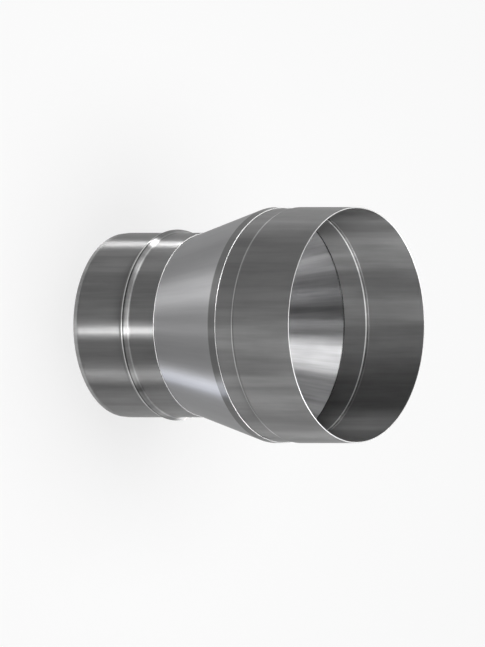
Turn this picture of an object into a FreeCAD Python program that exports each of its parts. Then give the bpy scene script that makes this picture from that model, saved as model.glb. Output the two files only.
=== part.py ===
import FreeCAD, Part
import math
import os

# Chimney pipe connector: an enlarger that leads a smaller flue pipe into a larger one.
# Three formed sheet shells sit in one another along one upright axis. The small end is at the
# bottom, and its rim is at height 0. Every length is in millimetres.

# Sheet, and how the shells sit in one another
sheet = 0.7               # wall of all three shells
nest_clearance = 0.05     # radial play between two nested shells

# Spigot tube, the small end that the smaller pipe is pushed over
spigot_outer_d = 118.6
spigot_length = 63.2
rim_lip = 0.8             # straight lip at the rim
lead_in_length = 4.5      # rim to the end of the taper behind the lip
lead_in_drop = 0.4        # how much smaller the radius is at the rim

# Rolled bead round the spigot, the stop for the smaller pipe
bead_from_rim = 40.4      # rim to the middle of the bead
bead_width = 7.9
bead_height = 2.1
bead_crest_r = 3.2        # of the outer face

# Cone between the two tubes
collar_depth = 14.0       # hidden stretch inside the spigot tube
cone_length = 54.8        # from the spigot tube's rear edge to the shoulder
flange_length = 5.3       # over the socket tube

# Socket tube, the large end that the larger pipe is pushed into
socket_bore_d = 150.3
socket_depth = 43.4
joggle_step = 0.8         # how much the radius grows at the joggle
joggle_length = 1.4
barrel_shown = 13.2       # plain stretch between the flange's edge and the joggle
shoulder_gap = 1.3        # from the shoulder to the tube's hidden front edge

# Radii of the outer faces
spigot_r = spigot_outer_d / 2
collar_r = spigot_r - sheet - nest_clearance
socket_r = socket_bore_d / 2 + sheet
barrel_r = socket_r - joggle_step
flange_r = barrel_r + nest_clearance + sheet

# Heights above the small rim
shoulder_z = spigot_length + cone_length
flange_edge_z = shoulder_z + flange_length
joggle_z = flange_edge_z + barrel_shown
socket_foot_z = joggle_z + joggle_length
large_rim_z = socket_foot_z + socket_depth

axis_foot = FreeCAD.Vector(0, 0, 0)
axis_up = FreeCAD.Vector(0, 0, 1)
mitred = 2                # the offset's way of meeting at a fold


def at(radius, height):
    """A point of a section, by its distance from the axis and its height."""
    return FreeCAD.Vector(radius, 0, height)


def folded(*points):
    """Straight edges from point to point, for sheet that is folded at each one."""
    return [Part.LineSegment(start, end).toShape() for start, end in zip(points, points[1:])]


def bead():
    """The bead's outer face: a round crest between two straight flanks that run into it."""
    half_width = bead_width / 2
    crest_centre = bead_height - bead_crest_r
    flank_angle = math.atan2(crest_centre, half_width) + math.asin(
        bead_crest_r / math.hypot(crest_centre, half_width)
    )
    touch_r = spigot_r + crest_centre + bead_crest_r * math.cos(flank_angle)
    touch_reach = bead_crest_r * math.sin(flank_angle)
    crest_start = at(touch_r, bead_from_rim - touch_reach)
    crest_end = at(touch_r, bead_from_rim + touch_reach)
    crest = Part.Arc(crest_start, at(spigot_r + bead_height, bead_from_rim), crest_end).toShape()
    low_flank = folded(at(spigot_r, bead_from_rim - half_width), crest_start)
    high_flank = folded(crest_end, at(spigot_r, bead_from_rim + half_width))
    return low_flank + [crest] + high_flank


def formed_shell(outer_edges):
    """A round shell of the sheet, spun about the axis from the line of its outer face."""
    section = Part.Wire(outer_edges).makeOffset2D(sheet, mitred, True, True)
    return section.revolve(axis_foot, axis_up, 360)


def spigot_tube():
    bead_edges = bead()
    before_bead = folded(
        at(spigot_r - lead_in_drop, 0),
        at(spigot_r - lead_in_drop, rim_lip),
        at(spigot_r, lead_in_length),
        bead_edges[0].Vertexes[0].Point,
    )
    after_bead = folded(bead_edges[-1].Vertexes[-1].Point, at(spigot_r, spigot_length))
    return formed_shell(before_bead + bead_edges + after_bead)


def cone():
    return formed_shell(
        folded(
            at(collar_r, spigot_length - collar_depth),
            at(collar_r, spigot_length),
            at(flange_r, shoulder_z),
            at(flange_r, flange_edge_z),
        )
    )


def socket_tube():
    return formed_shell(
        folded(
            at(barrel_r, shoulder_z + shoulder_gap),
            at(barrel_r, joggle_z),
            at(socket_r, socket_foot_z),
            at(socket_r, large_rim_z),
        )
    )


os.makedirs("parts", exist_ok=True)
for name, shape in (("spigot_tube", spigot_tube()), ("cone", cone()), ("socket_tube", socket_tube())):
    shape.exportStep(f"parts/{name}.step")
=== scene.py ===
import math
from typing import NamedTuple

import bmesh
import bpy
from bpy.props import FloatProperty, FloatVectorProperty, IntProperty, PointerProperty
from mathutils import Matrix, Vector


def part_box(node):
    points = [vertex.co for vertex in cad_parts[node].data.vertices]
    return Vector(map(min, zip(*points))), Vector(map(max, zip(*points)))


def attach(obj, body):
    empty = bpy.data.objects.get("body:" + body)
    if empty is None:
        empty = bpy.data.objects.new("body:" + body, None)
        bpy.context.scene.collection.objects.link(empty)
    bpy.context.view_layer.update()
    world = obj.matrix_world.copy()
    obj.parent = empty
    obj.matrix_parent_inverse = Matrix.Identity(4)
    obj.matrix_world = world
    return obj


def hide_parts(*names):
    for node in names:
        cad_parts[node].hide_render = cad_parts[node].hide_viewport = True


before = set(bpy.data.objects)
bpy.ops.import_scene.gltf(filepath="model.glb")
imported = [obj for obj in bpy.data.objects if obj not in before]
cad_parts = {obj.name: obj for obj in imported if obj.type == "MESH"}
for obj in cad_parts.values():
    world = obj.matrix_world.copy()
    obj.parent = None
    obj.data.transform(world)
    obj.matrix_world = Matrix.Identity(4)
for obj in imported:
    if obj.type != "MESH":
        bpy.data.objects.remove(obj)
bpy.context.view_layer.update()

bl_info = {
    "name": "Chimney pipe connector",
    "version": (1, 0, 0),
    "blender": (4, 5, 0),
    "location": "3D View > Sidebar > Flue",
    "description": "Dresses a sheet steel flue enlarger with formed shells, steel finishes and a studio",
    "category": "Object",
}

SPIGOT_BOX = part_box("spigot_tube")
CONE_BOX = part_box("cone")
SOCKET_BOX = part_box("socket_tube")
MM = 0.001

# Rows of the picture, and what each of them covers on the part
PICTURE_ROWS = 647
ROW_HEIGHT = 0.64247 * MM


# Sizes and colours that a user would change

def length(name, description, default):
    return FloatProperty(
        name=name, description=description, default=default, min=0.0, unit="LENGTH", precision=5
    )


def share(name, description, default):
    return FloatProperty(
        name=name, description=description, default=default, min=0.0, max=1.0, subtype="FACTOR"
    )


def angle(name, description, degrees):
    return FloatProperty(
        name=name, description=description, default=math.radians(degrees), subtype="ANGLE"
    )


def colour(name, description, default):
    return FloatVectorProperty(
        name=name, description=description, default=default, size=3, min=0.0, max=1.0, subtype="COLOR"
    )


def grey(name, description, tone):
    return colour(name, description, (tone, tone, tone))


class SheetSizes(bpy.types.PropertyGroup):
    """The sheet that all three shells are formed from."""

    gauge: length("Gauge", "Wall of all three shells", 0.7 * MM)
    nest_clearance: length("Nest clearance", "Radial play between two nested shells", 0.05 * MM)
    edge_ease: length("Edge ease", "Rounding that the shears leave along a cut edge", 0.12 * MM)
    bend_steps: IntProperty(name="Bend steps", description="Facets along each bend", default=8, min=2)
    turn_steps: IntProperty(name="Turn steps", description="Facets round the axis", default=360, min=32)


class SpigotSizes(bpy.types.PropertyGroup):
    """The small end, which the smaller pipe is pushed over."""

    radius: length("Radius", "Outside of the plain wall", 59.3 * MM)
    rim_lip: length("Rim lip", "Straight lip at the rim", 0.8 * MM)
    worn_length: length("Worn length", "Dull band above the lip", 2.0 * MM)
    lead_in_length: length("Lead-in length", "From the rim to the end of the taper", 4.5 * MM)
    lead_in_drop: length("Lead-in drop", "How much smaller the radius is at the rim", 0.4 * MM)
    lead_in_bend: length("Lead-in bend", "Bends at both ends of the taper", 3.0 * MM)
    bead_from_rim: length("Bead from rim", "Rim to the middle of the bead", 40.4 * MM)
    bead_width: length("Bead width", "Between the corners of the bead's feet", 7.9 * MM)
    bead_crest_bend: length("Bead crest bend", "Outer face of the bead's crest", 3.2 * MM)
    bead_foot_bend: length("Bead foot bend", "Outer face of the bead's feet", 1.5 * MM)


class ConeSizes(bpy.types.PropertyGroup):
    """The middle shell, with its collar inside the spigot and its flange over the socket tube."""

    root_bend: length("Root bend", "Where the cone leaves its collar", 1.2 * MM)
    shoulder_bend: length("Shoulder bend", "Where the cone meets its flange", 1.6 * MM)
    flange_length: length("Flange length", "Over the socket tube", 5.3 * MM)


class SocketSizes(bpy.types.PropertyGroup):
    """The large end, which the larger pipe is pushed into."""

    joggle_step: length("Joggle step", "How much the radius grows at the joggle", 0.8 * MM)
    joggle_length: length("Joggle length", "Along the axis", 1.4 * MM)
    joggle_bend: length("Joggle bend", "Bends at both ends of the joggle", 1.0 * MM)
    depth: length("Depth", "From the joggle's top to the rim", 43.4 * MM)


class SteelFinish(bpy.types.PropertyGroup):
    """The finish of the rolled sheet."""

    tube_colour: grey("Tube colour", "Bright rolled sheet of both tubes", 0.142)
    # Partly painted light: lighter than the cone's flange, which is the same sheet, to stand in for light
    # on the cone.
    cone_colour_with_painted_light: colour("Cone colour", "Satin sheet of the cone", (0.31, 0.31, 0.315))
    cut_colour: grey("Cut colour", "Bare metal of the sheared edges", 0.9)
    worn_colour: grey("Worn colour", "Dull band at the small rim, from the pipes pushed over it", 0.2)
    flange_edge_colour: grey("Flange edge colour", "Sheared edge of the cone's flange", 0.6)
    rim_colour: grey("Rim colour", "Sheared edge of the large end, dulled by handling", 0.19)
    # Painted highlight: the colour of bands laid where the bead and the joggle show highlight lines.
    highlight_colour: grey("Polished colour", "Where the forming rollers pressed on the sheet", 0.75)
    tube_roughness: share("Tube roughness", "Bright rolled sheet", 0.36)
    cone_roughness: share("Cone roughness", "Satin sheet", 0.42)
    flange_roughness: share("Flange roughness", "Rolled flange of the cone", 0.3)
    tube_streaks: share("Tube streaks", "How far the bright sheet's streaks change its tone", 0.26)
    cone_streaks: share("Cone streaks", "How far the satin sheet's streaks change its tone", 0.1)
    inner_streaks: share("Inner streaks", "How much stronger the cone's streaks are inside", 0.3)
    inner_gloss: share("Inner gloss", "How much smoother the cone is inside", 0.1)
    seam_bearing: angle("Seam bearing", "Where the sheet's ends are welded", 5.0)
    seam_width: length("Seam width", "Weld along each tube and the cone", 1.3 * MM)
    seam_ripple: length("Seam ripple", "Between the weld's ripples", 0.9 * MM)
    seam_colour: colour("Seam colour", "Bare metal of the weld", (0.42, 0.42, 0.41))
    heat_colour: colour("Heat colour", "Straw tint beside the seam, from the welding", (0.26, 0.22, 0.17))
    heat_strength: share("Heat strength", "How strong the tint is at the seam", 0.35)


class StageSizes(bpy.types.PropertyGroup):
    """The floor, the lamps and the camera."""

    floor_radius: length("Floor radius", "Round floor", 10.0)
    floor_colour: grey("Floor colour", "Plain pale floor", 0.88)
    floor_white: share("Floor white", "How far the floor turns white in the picture and in the metal", 0.7)
    room_level: FloatProperty(name="Room level", description="Light from all round", default=0.12, min=0.0)
    view_height: angle("View height", "Camera above the horizon", 35.38)
    picture_height: length("Picture height", "Height of the camera's frame", PICTURE_ROWS * ROW_HEIGHT)
    aim_height: length("Aim height", "Point of the axis in the middle of the frame", 91.56 * MM)
    aim_aside: length("Aim aside", "Sideways from the axis", 1.0 * MM)


# Sections of bent sheet

def mitre(corners, distance):
    """The line that runs beside an open line of corners, at a distance towards the axis."""
    headings = [(b - a).normalized() for a, b in zip(corners, corners[1:])]
    lefts = [Vector((-h.y, h.x)) for h in headings]
    moved = [corners[0] + lefts[0] * distance]
    for corner, left, next_left in zip(corners[1:], lefts, lefts[1:]):
        between = (left + next_left).normalized()
        moved.append(corner + between * (distance / between.dot(left)))
    return moved + [corners[-1] + lefts[-1] * distance]


def rounded_loop(corners, bends, steps):
    """Points and normals round a closed line, with every corner turned into an arc of its bend."""
    points = []
    for i, (corner, bend) in enumerate(zip(corners, bends)):
        before = (corners[i - 1] - corner).normalized()
        after = (corners[(i + 1) % len(corners)] - corner).normalized()
        turn = math.pi - before.angle(after)
        side = 1 if before.cross(after) < 0 else -1
        centre = corner + (before + after).normalized() * (bend / math.cos(turn / 2))
        start = corner + before * (bend * math.tan(turn / 2)) - centre
        for step in range(steps + 1):
            spoke = Matrix.Rotation(side * turn * step / steps, 2) @ start
            points.append((centre + spoke, spoke.normalized() * side))
    return points


def sheet_section(corners, bends, sheet):
    """The closed section of a sheet whose outer face follows the corners from the bottom up."""
    inner = mitre(corners, sheet.gauge)
    inner_bends = []
    for before, corner, after, bend in zip(corners, corners[1:], corners[2:], bends):
        outward = (corner - before).cross(after - corner) > 0
        inner_bends.append(bend - sheet.gauge if outward else bend + sheet.gauge)
    eased = [sheet.edge_ease]
    radii = eased + bends + eased + eased + inner_bends[::-1] + eased
    return rounded_loop(corners + inner[::-1], radii, sheet.bend_steps)


def spun_shell(name, section, turn_steps):
    """A shell spun about the axis from a closed section, with the section's own normals."""
    mesh = bpy.data.meshes.new(name)
    spokes = [(math.cos(a), math.sin(a)) for a in (math.tau * i / turn_steps for i in range(turn_steps))]
    shell = bmesh.new()
    rings = [[shell.verts.new((p.x * c, p.x * s, p.y)) for p, _ in section] for c, s in spokes]
    for ring, next_ring in zip(rings, rings[1:] + rings[:1]):
        for i in range(len(section)):
            shell.faces.new((ring[i - 1], next_ring[i - 1], next_ring[i], ring[i])).smooth = True
    shell.to_mesh(mesh)
    shell.free()
    normals = [(n.x * c, n.x * s, n.y) for c, s in spokes for _, n in section]
    mesh.normals_split_custom_set_from_vertices(normals)
    piece = bpy.data.objects.new(name, mesh)
    bpy.context.scene.collection.objects.link(piece)
    return piece


def keep_piece(piece, node, material):
    """Puts a shell in the place of its CAD node, with its finish."""
    piece.data.materials.append(material)
    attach(piece, "root")
    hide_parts(node)


# Materials

class Value:
    """A socket of a material, so that sums on it can be written as plain expressions."""

    def __init__(self, graph, socket):
        self.graph = graph
        self.socket = socket

    def sum(self, operation, *inputs):
        return self.graph.node("ShaderNodeMath", {"operation": operation}, dict(enumerate(inputs)))

    def __add__(self, other):
        return self.sum("ADD", self, other)

    __radd__ = __add__

    def __sub__(self, other):
        return self.sum("SUBTRACT", self, other)

    def __rsub__(self, other):
        return self.sum("SUBTRACT", other, self)

    def __mul__(self, other):
        return self.sum("MULTIPLY", self, other)

    __rmul__ = __mul__

    def __truediv__(self, other):
        return self.sum("DIVIDE", self, other)

    def __rtruediv__(self, other):
        return self.sum("DIVIDE", other, self)

    def __pow__(self, other):
        return self.sum("POWER", self, other)

    def __abs__(self):
        return self.sum("ABSOLUTE", self)

    def sine(self):
        return self.sum("SINE", self)

    def larger(self, other):
        return self.sum("MAXIMUM", self, other)

    def ramp(self, start, end):
        """0 up to start and 1 past end, with a soft step between."""
        limits = {"Value": self, "From Min": start, "From Max": end}
        return self.graph.node("ShaderNodeMapRange", {"interpolation_type": "SMOOTHSTEP"}, limits)


class Graph:
    """The nodes of a material with one shader."""

    # Places of a Mix node's two colours among its inputs, and of their mixture among its outputs
    under_input, over_input, mixture = 6, 7, 2

    def __init__(self, name):
        self.material = bpy.data.materials.new(name)
        self.material.use_nodes = True
        self.tree = self.material.node_tree
        self.shader = self.tree.nodes["Principled BSDF"]

    def node(self, kind, settings, inputs, output=0):
        """Adds a node, sets it up, fills its sockets and returns one of its outputs."""
        made = self.tree.nodes.new(kind)
        for name, value in settings.items():
            setattr(made, name, value)
        for name, value in inputs.items():
            self.fill(made.inputs[name], value)
        return Value(self, made.outputs[output])

    def fill(self, socket, value):
        if isinstance(value, Value):
            self.tree.links.new(value.socket, socket)
        else:
            socket.default_value = value

    def shade(self, **inputs):
        """Fills sockets of the shader; a socket's name has underscores for its spaces."""
        for name, value in inputs.items():
            self.fill(self.shader.inputs[name.replace("_", " ")], value)

    def blend(self, amount, under, over, kind="MIX"):
        """One colour mixed into another, or laid over it."""
        inputs = {"Factor": amount}
        for place, value in ((self.under_input, under), (self.over_input, over)):
            inputs[place] = value if isinstance(value, Value) else (*value, 1)
        return self.node("ShaderNodeMix", {"data_type": "RGBA", "blend_type": kind}, inputs, self.mixture)


class Band(NamedTuple):
    """A ring of a shell between two heights, and how strongly it is marked outside and inside."""

    low: float
    high: float
    outside: float
    inside: float = 0.0


class Look(NamedTuple):
    """What tells the steel of one shell from another's.

    The highlight and shade bands are rings of painted highlight and painted shade: lighter or darker tone
    laid where the bead and the joggle show bright or dark lines. The sheet is dull below worn_to and as
    bright as the tubes' above tube_from; below it, the cone's colour is partly painted light. Inside, its
    streaks are stronger by inner_streaks and its roughness is lower by inner_gloss.
    """

    colour: tuple
    cut_colour: tuple
    roughness: float
    streaks: float
    highlight_bands: tuple = ()
    shade_bands: tuple = ()
    worn_to: float = 0.0
    tube_from: float = 1.0
    inner_streaks: float = 0.0
    inner_gloss: float = 0.0


class ShellGraph(Graph):
    """The nodes of a shell's steel, with the places on the shell that its marks are worked out from."""

    # Half of the soft end of each band
    band_edge = 0.2 * MM

    def __init__(self, name):
        super().__init__(name)
        self.x, self.y, self.z = self.parts(self.node("ShaderNodeTexCoord", {}, {}, "Object"))
        self.radius = (self.x * self.x + self.y * self.y) ** 0.5
        facing = self.node("ShaderNodeNewGeometry", {}, {}, "Normal")
        facing_x, facing_y, self.facing_up = self.parts(facing)
        self.inside = (self.x * facing_x + self.y * facing_y).ramp(0.0, -0.5 * self.radius)

    def parts(self, vector):
        return [self.node("ShaderNodeSeparateXYZ", {}, {0: vector}, axis) for axis in "XYZ"]

    def noise(self, turns, rises, detail):
        """Noise that changes so many times in a radian round the axis, and in a metre along it."""
        place = {"X": self.x / self.radius * turns, "Y": self.y / self.radius * turns, "Z": self.z * rises}
        at = self.node("ShaderNodeCombineXYZ", {}, place)
        settings = {"Vector": at, "Scale": 1.0, "Detail": detail, "Roughness": 0.6}
        return self.node("ShaderNodeTexNoise", {}, settings) - 0.5

    def mottle(self, turns, rises, detail):
        """The same noise with more contrast, from -0.5 to 0.5."""
        return self.noise(turns, rises, detail).ramp(-0.2, 0.2) - 0.5

    def marks(self, bands):
        """How strongly the bands mark the sheet, with soft ends."""
        total = 0.0
        for band in bands:
            from_low = self.z.ramp(band.low - self.band_edge, band.low + self.band_edge)
            to_high = self.z.ramp(band.high + self.band_edge, band.high - self.band_edge)
            total = from_low * to_high * (band.outside + self.inside * (band.inside - band.outside)) + total
        return total


def weld_seam(shell, finish):
    """The weld along the sheet's ends, the tint that its heat left beside it, and its ripples."""
    sine, cosine = math.sin(finish.seam_bearing), math.cos(finish.seam_bearing)
    half = finish.seam_width / 2
    soft_edge = 0.15 * MM
    tint_reach = finish.seam_width * 2.5
    aside = abs(shell.y * cosine - shell.x * sine)
    on_side = (shell.x * cosine + shell.y * sine).ramp(0.0, MM)
    weld = on_side * aside.ramp(half + soft_edge, half - soft_edge)
    heat = on_side * aside.ramp(tint_reach, half)
    ripple = ((shell.z + aside * aside / finish.seam_width) * (math.tau / finish.seam_ripple)).sine()
    return weld, heat, ripple


def steel(name, look, finish):
    """Sheet with its grain run round the axis, so that it spreads each highlight along the tube."""
    shell = ShellGraph(name)
    streaks = shell.mottle(turns=11.0, rises=9.0, detail=4.0)
    clouds = shell.mottle(turns=2.5, rises=22.0, detail=3.0)
    grain = shell.noise(turns=5.0, rises=2400.0, detail=2.0)
    weld, heat, ripple = weld_seam(shell, finish)
    cut = abs(shell.facing_up).ramp(0.75, 0.95)
    soft_edge = 0.4 * MM
    worn = shell.z.ramp(look.worn_to + soft_edge, look.worn_to - soft_edge)
    above = shell.z.ramp(look.tube_from - 0.6 * MM, look.tube_from + soft_edge)

    streak_strength = look.streaks + shell.inside * look.inner_streaks
    # Shade bands darken the tone as painted shade.
    tone = 1.0 - shell.marks(look.shade_bands) + streak_strength * (streaks + 0.4 * clouds)
    # On the cone, the colour below tube_from is partly painted light.
    sheet = shell.blend(above, look.colour, finish.tube_colour)
    # Highlight bands lay a brighter colour on the sheet as painted highlight.
    sheet = shell.blend(shell.marks(look.highlight_bands), sheet, finish.highlight_colour)
    sheet = shell.blend(worn, sheet, finish.worn_colour)
    sheet = shell.blend(1.0, sheet, tone, "MULTIPLY")
    sheet = shell.blend(heat * finish.heat_strength, sheet, finish.heat_colour)
    sheet = shell.blend(weld, sheet, finish.seam_colour)
    sheet = shell.blend(cut, sheet, look.cut_colour)

    rolled = look.roughness + (finish.flange_roughness - look.roughness) * above
    uneven = 0.02 * streaks + 0.03 * grain + 0.01 * clouds
    height = 0.3 * grain + 6.0 * weld * (1.0 + 0.25 * ripple)
    relief = {"Strength": 0.35, "Distance": 0.01 * MM, "Height": height}
    shell.shade(
        Base_Color=sheet,
        Metallic=1.0 - 0.6 * cut - 0.6 * worn,
        Roughness=rolled - look.inner_gloss * shell.inside + uneven + 0.25 * cut + 0.25 * worn,
        Anisotropic=1.0,
        Anisotropic_Rotation=0.25,
        Normal=shell.node("ShaderNodeBump", {}, relief),
    )
    return shell.material


def pale_floor(name, sizes):
    """A matt floor with soft shadows, turned towards white where the camera or the metal sees it."""
    floor = Graph(name)
    floor.shade(Base_Color=(*sizes.floor_colour, 1), Roughness=1.0, Specular_IOR_Level=0.0)
    rays = ("Is Camera Ray", "Is Glossy Ray", "Is Transmission Ray")
    camera, glossy, through = (floor.node("ShaderNodeLightPath", {}, {}, ray) for ray in rays)
    seen = camera.larger(glossy).larger(through)
    white = floor.node("ShaderNodeEmission", {}, {"Color": (1, 1, 1, 1), "Strength": 1.0})
    matt = Value(floor, floor.shader.outputs["BSDF"])
    mixed = floor.node("ShaderNodeMixShader", {}, {0: seen * sizes.floor_white, 1: matt, 2: white})
    floor.fill(floor.tree.nodes["Material Output"].inputs["Surface"], mixed)
    return floor.material


# Lamps

SHELLS = ("spigot_shell", "cone_shell", "socket_shell")
SPIGOT, CONE, SOCKET = ((shell,) for shell in SHELLS)
PLAIN_WHITE = (1, 1, 1)
COOL_WHITE = (0.8, 0.85, 1.0)

# Elevation and height of each row of lamps, in degrees as seen from the part
GROUND = (-3, 7)
LOW = (9, 30)
SLANTED = (30, 16)
MIDDLE = (33, 18)
HIGH = (52, 21)
UPPER = (62, 16)
STEEP = (70, 16)
OVERHEAD = (90, 53)

# Point inside the part that every lamp faces, and how far the lamps stand from it
LAMP_AIM = Vector((0, 0, 0.1))
LAMP_DISTANCE = 0.85
OVERHEAD_DISTANCE = 1.6


def lamp(name, bearing, row, spread, watts, lit, tint=PLAIN_WHITE, mirrored=True):
    """A soft panel that faces the part and lights only the named pieces.

    Its bearing from the camera's side and its spread are in degrees as seen from the part. If it isn't
    mirrored, it lights only their matt cut edges.
    """
    elevation, rise = row
    distance = OVERHEAD_DISTANCE if row == OVERHEAD else LAMP_DISTANCE
    light = bpy.data.lights.new(name, "AREA")
    light.shape = "RECTANGLE"
    light.size = 2 * distance * math.tan(math.radians(spread / 2))
    light.size_y = 2 * distance * math.tan(math.radians(rise / 2))
    light.energy = watts
    light.color = tint
    panel = bpy.data.objects.new(name, light)
    around, up = math.radians(bearing), math.radians(elevation)
    towards = Vector((-math.sin(around) * math.cos(up), -math.cos(around) * math.cos(up), math.sin(up)))
    panel.location = LAMP_AIM + towards * distance
    panel.rotation_euler = towards.to_track_quat("Z", "Y").to_euler()
    panel.visible_camera = False
    panel.visible_glossy = mirrored
    bpy.context.scene.collection.objects.link(panel)
    group = bpy.data.collections.new(name + "_lights")
    for piece in lit:
        group.objects.link(bpy.data.objects[piece])
    panel.light_linking.receiver_collection = group


def light_floor_and_edges():
    """Light for the floor, and a soft edge light from behind on all three shells."""
    lamp("floor_light", 0, OVERHEAD, 53, 32.0, ("floor",))
    lamp("edge_light", 180, MIDDLE, 33, 1.5, SHELLS)


def light_spigot():
    """Light bands along the spigot tube, light for its bead, and light for its matt cut edge alone."""
    lamp("spigot_rim_light", 180, MIDDLE, 33, 2.5, SPIGOT)
    lamp("spigot_back_band", -162, GROUND, 48, 5.0, SPIGOT)
    lamp("spigot_right_edge", -130, GROUND, 30, 0.4, SPIGOT)
    lamp("spigot_side_band", -102, GROUND, 48, 1.9, SPIGOT)
    lamp("spigot_right_band", -56, GROUND, 24, 1.7, SPIGOT)
    lamp("spigot_right_line", -57, GROUND, 8, 0.8, SPIGOT)
    lamp("spigot_front_line", -6.5, GROUND, 7, 4.0, SPIGOT)
    lamp("spigot_left_line", 104, GROUND, 8, 5.2, SPIGOT)
    lamp("spigot_left_band", 132, GROUND, 36, 0.5, SPIGOT)
    lamp("spigot_left_glow", 92, GROUND, 14, 0.3, SPIGOT)
    lamp("bead_left_light", 50, STEEP, 60, 11.0, SPIGOT)
    lamp("bead_side_light", 108, HIGH, 44, 6.0, SPIGOT)
    lamp("bead_front_light", -10, STEEP, 60, 2.5, SPIGOT)
    lamp("bead_right_light", -90, STEEP, 50, 2.0, SPIGOT)
    lamp("spigot_edge_light", -70, HIGH, 60, 6.0, SPIGOT, mirrored=False)


def light_cone():
    """Light bands along the outside of the cone, one of them cool, then along its inside."""
    lamp("cone_right_glow", -52, GROUND, 16, 1.2, CONE)
    lamp("cone_right_line", -57, GROUND, 13, 1.75, CONE, tint=COOL_WHITE)
    lamp("cone_front_line", -6.5, GROUND, 6, 0.2, CONE)
    lamp("cone_left_glow", 39, HIGH, 22, 9.4, CONE)
    lamp("cone_left_band", 120, HIGH, 12, 2.2, CONE)
    lamp("cone_back_band", -126, HIGH, 24, 5.5, CONE)
    lamp("cone_inner_glow", 130, STEEP, 32, 3.5, CONE)
    lamp("cone_inner_line", 0, HIGH, 5, 0.9, CONE)
    lamp("cone_inner_side", 70, HIGH, 10, 0.6, CONE)
    lamp("cone_inner_edge", 108, HIGH, 10, 2.2, CONE)
    lamp("cone_inner_back", -72, HIGH, 14, 1.0, CONE)
    lamp("cone_inner_band", -100, HIGH, 24, 1.7, CONE)


def light_socket():
    """Light bands along the socket tube, outside and inside, and light for its joggle."""
    lamp("socket_front_band", -18, HIGH, 24, 4.1, SOCKET)
    lamp("socket_front_glow", 0, HIGH, 36, 1.0, SOCKET)
    lamp("socket_right_line", -48, LOW, 8, 0.7, SOCKET)
    lamp("socket_right_glow", -60, HIGH, 36, 3.2, SOCKET)
    lamp("socket_right_band", -114, HIGH, 24, 4.2, SOCKET)
    lamp("socket_side_line", -120, MIDDLE, 12, 2.5, SOCKET)
    lamp("socket_inner_glow", -126, UPPER, 40, 26.0, SOCKET)
    lamp("socket_inner_front", -10, STEEP, 30, 5.0, SOCKET)
    lamp("socket_inner_right", 80, STEEP, 36, 2.0, SOCKET)
    lamp("joggle_light", 80, SLANTED, 70, 1.4, SOCKET)
    lamp("socket_left_line", 28, LOW, 16, 0.2, SOCKET)
    lamp("socket_left_band", 114, MIDDLE, 24, 3.2, SOCKET)
    lamp("socket_left_end", 144, MIDDLE, 16, 1.0, SOCKET)
    lamp("socket_right_end", -146, MIDDLE, 16, 0.8, SOCKET)


# Floor, room and camera

def lay_floor(sizes):
    """A round floor under the part, kept apart from its pieces."""
    mesh = bpy.data.meshes.new("floor")
    disc = bmesh.new()
    bmesh.ops.create_circle(disc, cap_ends=True, radius=sizes.floor_radius, segments=96)
    disc.to_mesh(mesh)
    disc.free()
    ground = bpy.data.objects.new("floor", mesh)
    bpy.context.scene.collection.objects.link(ground)
    ground.data.materials.append(pale_floor("floor_paint", sizes))


def light_room(sizes):
    """Even light from all round."""
    room = bpy.data.worlds.new("room")
    room.use_nodes = True
    light = room.node_tree.nodes["Background"]
    light.inputs["Color"].default_value = (1, 1, 1, 1)
    light.inputs["Strength"].default_value = sizes.room_level
    bpy.context.scene.world = room


def set_camera(sizes):
    """A camera without perspective, turned so that the part's axis lies across the picture."""
    camera = bpy.data.cameras.new("camera")
    camera.type = "ORTHO"
    camera.ortho_scale = sizes.picture_height
    camera.clip_end = 10.0
    eye = bpy.data.objects.new("camera", camera)
    sine, cosine = math.sin(sizes.view_height), math.cos(sizes.view_height)
    back = Vector((0, -cosine, sine))
    aim = Vector((-sizes.aim_aside, 0, sizes.aim_height))
    axes = Matrix(((0, sine, cosine), (-1, 0, 0), back)).transposed()
    eye.matrix_world = Matrix.Translation(aim + back) @ axes.to_4x4()
    bpy.context.scene.collection.objects.link(eye)
    bpy.context.scene.camera = eye
    bpy.context.scene.view_settings.view_transform = "Standard"


# Spigot tube

def spigot_corners(sizes):
    """The outer face from the rim up. The bead's flanks run on to the apex that its crest rounds off."""
    low, high = SPIGOT_BOX
    rim = sizes.radius - sizes.lead_in_drop
    half_width = sizes.bead_width / 2
    crest_centre = high.x - sizes.radius - sizes.bead_crest_bend
    flank_angle = math.atan2(crest_centre, half_width) + math.asin(
        sizes.bead_crest_bend / math.hypot(crest_centre, half_width)
    )
    apex = sizes.radius + half_width * math.tan(flank_angle)
    return [
        Vector((rim, low.z)),
        Vector((rim, sizes.rim_lip)),
        Vector((sizes.radius, sizes.lead_in_length)),
        Vector((sizes.radius, sizes.bead_from_rim - half_width)),
        Vector((apex, sizes.bead_from_rim)),
        Vector((sizes.radius, sizes.bead_from_rim + half_width)),
        Vector((sizes.radius, high.z)),
    ]


def spigot_look(finish, sizes):
    """Bright sheet, worn at the rim, with painted highlight lines along the bead and painted shade along
    its crest.
    """
    crest = sizes.bead_from_rim
    foot, end = crest - sizes.bead_width / 2, crest + sizes.bead_width / 2
    # Painted highlight: bands of brighter colour where the bead shows highlight lines.
    bead_front_highlight = Band(low=foot + 2.65 * MM, high=foot + 3.55 * MM, outside=0.75)
    # Painted shade: the crest is darkened where it shows a dark line.
    bead_crest_shade = Band(low=crest - 0.4 * MM, high=crest + 0.75 * MM, outside=0.65)
    bead_flank_highlight = Band(low=crest + 1.0 * MM, high=end - 0.4 * MM, outside=0.05)
    bead_rear_highlight = Band(low=end - 1.2 * MM, high=end - 0.4 * MM, outside=0.14)
    return Look(
        colour=finish.tube_colour,
        cut_colour=finish.cut_colour,
        roughness=finish.tube_roughness,
        streaks=finish.tube_streaks,
        highlight_bands=(bead_front_highlight, bead_flank_highlight, bead_rear_highlight),
        shade_bands=(bead_crest_shade,),
        worn_to=sizes.rim_lip + sizes.worn_length,
    )


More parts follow.
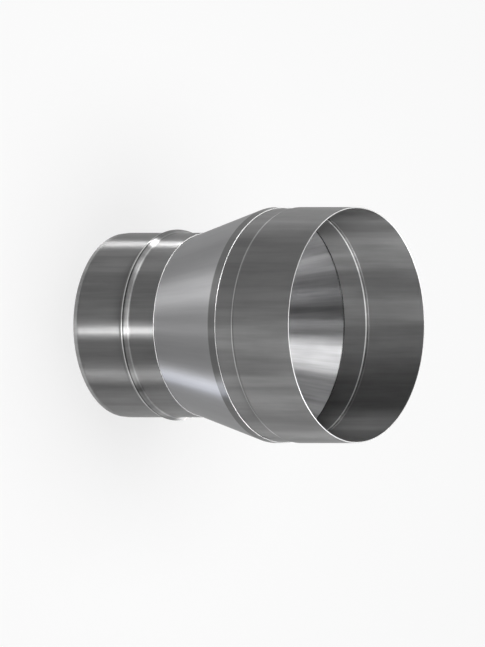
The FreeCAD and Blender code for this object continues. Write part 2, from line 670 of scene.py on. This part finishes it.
class FLUE_OT_spigot(bpy.types.Operator):
    """Forms the spigot tube with its lead-in taper and rolled bead"""

    bl_idname = "flue.spigot"
    bl_label = "Spigot tube"

    def execute(self, context):
        sheet, sizes = context.scene.flue_sheet, context.scene.flue_spigot
        bead_bends = [sizes.bead_foot_bend, sizes.bead_crest_bend, sizes.bead_foot_bend]
        bends = [sizes.lead_in_bend] * 2 + bead_bends
        section = sheet_section(spigot_corners(sizes), bends, sheet)
        piece = spun_shell("spigot_shell", section, sheet.turn_steps)
        finish = context.scene.flue_finish
        material = steel("tube_finish_small", spigot_look(finish, sizes), finish)
        keep_piece(piece, "spigot_tube", material)
        return {"FINISHED"}


# Cone

def cone_corners(sizes, collar):
    """The outer face from the collar's hidden edge up to the flange's edge."""
    low, high = CONE_BOX
    return [
        Vector((collar, low.z)),
        Vector((collar, SPIGOT_BOX[1].z)),
        Vector((high.x, high.z - sizes.flange_length)),
        Vector((high.x, high.z)),
    ]


def cone_look(finish, sizes):
    """Satin sheet, streakier and smoother inside, with painted light that makes it lighter than its flange,
    which is as bright as the tubes.
    """
    return Look(
        colour=finish.cone_colour_with_painted_light,
        cut_colour=finish.flange_edge_colour,
        roughness=finish.cone_roughness,
        streaks=finish.cone_streaks,
        tube_from=CONE_BOX[1].z - sizes.flange_length,
        inner_streaks=finish.inner_streaks,
        inner_gloss=finish.inner_gloss,
    )


class FLUE_OT_cone(bpy.types.Operator):
    """Forms the cone with its hidden collar and its flange"""

    bl_idname = "flue.cone"
    bl_label = "Cone"

    def execute(self, context):
        sheet, sizes = context.scene.flue_sheet, context.scene.flue_cone
        collar = context.scene.flue_spigot.radius - sheet.gauge - sheet.nest_clearance
        section = sheet_section(cone_corners(sizes, collar), [sizes.root_bend, sizes.shoulder_bend], sheet)
        piece = spun_shell("cone_shell", section, sheet.turn_steps)
        finish = context.scene.flue_finish
        material = steel("cone_finish", cone_look(finish, sizes), finish)
        keep_piece(piece, "cone", material)
        return {"FINISHED"}


# Socket tube

def socket_corners(sizes):
    """The outer face from the hidden front edge up to the large rim."""
    low, high = SOCKET_BOX
    barrel = high.x - sizes.joggle_step
    foot = high.z - sizes.depth
    return [
        Vector((barrel, low.z)),
        Vector((barrel, foot - sizes.joggle_length)),
        Vector((high.x, foot)),
        Vector((high.x, high.z)),
    ]


def socket_look(finish, sizes):
    """Bright sheet, with a painted highlight line and a painted shade line along the joggle."""
    foot = SOCKET_BOX[1].z - sizes.depth
    # Painted highlight: a brighter line at the joggle where its step shows a bright ring.
    joggle_highlight = Band(low=foot - 2.2 * MM, high=foot - 1.3 * MM, outside=0.3, inside=0.75)
    # Painted shade: a darker line beside it where the step shows a dark line.
    joggle_shade = Band(low=foot - 1.2 * MM, high=foot - 0.1 * MM, outside=0.0, inside=0.6)
    return Look(
        colour=finish.tube_colour,
        cut_colour=finish.rim_colour,
        roughness=finish.tube_roughness,
        streaks=finish.tube_streaks,
        highlight_bands=(joggle_highlight,),
        shade_bands=(joggle_shade,),
    )


class FLUE_OT_socket(bpy.types.Operator):
    """Forms the socket tube with its joggle"""

    bl_idname = "flue.socket"
    bl_label = "Socket tube"

    def execute(self, context):
        sheet, sizes = context.scene.flue_sheet, context.scene.flue_socket
        section = sheet_section(socket_corners(sizes), [sizes.joggle_bend] * 2, sheet)
        piece = spun_shell("socket_shell", section, sheet.turn_steps)
        finish = context.scene.flue_finish
        material = steel("tube_finish_large", socket_look(finish, sizes), finish)
        keep_piece(piece, "socket_tube", material)
        return {"FINISHED"}


# Stage and panel

class FLUE_OT_stage(bpy.types.Operator):
    """Sets the floor, the lamps and the camera"""

    bl_idname = "flue.stage"
    bl_label = "Stage"

    def execute(self, context):
        sizes = context.scene.flue_stage
        lay_floor(sizes)
        light_floor_and_edges()
        light_spigot()
        light_cone()
        light_socket()
        light_room(sizes)
        set_camera(sizes)
        return {"FINISHED"}


class FLUE_PT_panel(bpy.types.Panel):
    """Lists the steps and the sizes in the sidebar"""

    bl_label = "Chimney pipe connector"
    bl_idname = "FLUE_PT_panel"
    bl_space_type = "VIEW_3D"
    bl_region_type = "UI"
    bl_category = "Flue"

    def draw(self, context):
        for operator in OPERATORS:
            self.layout.operator(operator.bl_idname)
        for name, group in GROUPS.items():
            box = self.layout.box()
            for field in group.__annotations__:
                box.prop(getattr(context.scene, name), field)


OPERATORS = (FLUE_OT_spigot, FLUE_OT_cone, FLUE_OT_socket, FLUE_OT_stage)
GROUPS = {
    "flue_sheet": SheetSizes,
    "flue_spigot": SpigotSizes,
    "flue_cone": ConeSizes,
    "flue_socket": SocketSizes,
    "flue_finish": SteelFinish,
    "flue_stage": StageSizes,
}


def register():
    for group in (*GROUPS.values(), *OPERATORS, FLUE_PT_panel):
        bpy.utils.register_class(group)
    for name, group in GROUPS.items():
        setattr(bpy.types.Scene, name, PointerProperty(type=group))


def unregister():
    for name in GROUPS:
        delattr(bpy.types.Scene, name)
    for group in (FLUE_PT_panel, *OPERATORS, *GROUPS.values()):
        bpy.utils.unregister_class(group)


def main():
    register()
    bpy.ops.flue.spigot()
    bpy.ops.flue.cone()
    bpy.ops.flue.socket()
    bpy.ops.flue.stage()


if __name__ == "__main__":
    main()
